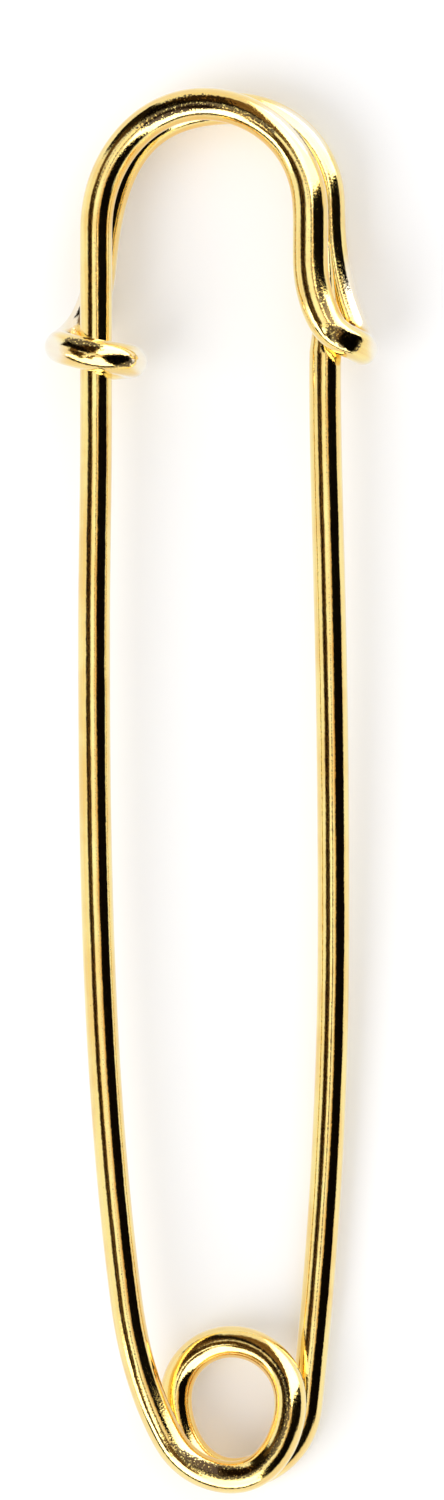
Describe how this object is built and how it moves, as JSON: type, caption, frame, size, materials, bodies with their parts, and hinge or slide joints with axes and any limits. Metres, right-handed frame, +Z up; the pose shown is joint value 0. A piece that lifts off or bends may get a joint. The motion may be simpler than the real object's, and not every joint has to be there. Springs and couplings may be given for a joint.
{
  "type": "kilt pin",
  "caption": "Large safety pin bent from round gold-plated wire: a coil spring, a bowed pin arm with a ground point, a back leg, an arch and a hooked catch whose end winds round the leg.",
  "frame": {"origin": "on the table, under the middle of the pin's length and width", "axes": "+Y along the pin from the coil to the arch, +X from the back leg to the pin arm, +Z up from the table the pin lies on"},
  "size_m": [0.0182, 0.076, 0.0059],
  "materials": {
    "gold_wire": "mirror-polished gold plating over wire"
  },
  "bodies": {
    "frame": {"spring_coil": "gold_wire", "leg_foot": "gold_wire", "back_leg": "gold_wire", "front_arch": "gold_wire", "catch_front": "gold_wire", "catch_bend": "gold_wire", "catch_back": "gold_wire", "back_arch": "gold_wire", "leg_wrap": "gold_wire"},
    "tail": {"spring_tail": "gold_wire"},
    "pin": {"pin_arm": "gold_wire", "pin_point": "gold_wire"}
  },
  "joints": [
    {"name": "coil_wind", "type": "hinge", "parent": "frame", "child": "tail", "pos_m": [0.00119, -0.03297, 0.00088], "axis": [0, 0, 1], "range_deg": [0, 8], "stiffness_Nm_per_rad": 0.5, "springref_deg": -6.88},
    {"name": "side_flex", "type": "hinge", "parent": "tail", "child": "pin", "pos_m": [0.00517, -0.03357, 0.00175], "axis": [0.9936, -0.1132, 0], "range_deg": [0, 3.25], "stiffness_Nm_per_rad": 0.3}
  ],
  "couplings": [
    {"joint": "side_flex", "follows": "coil_wind", "ratio": 0.4}
  ]
}
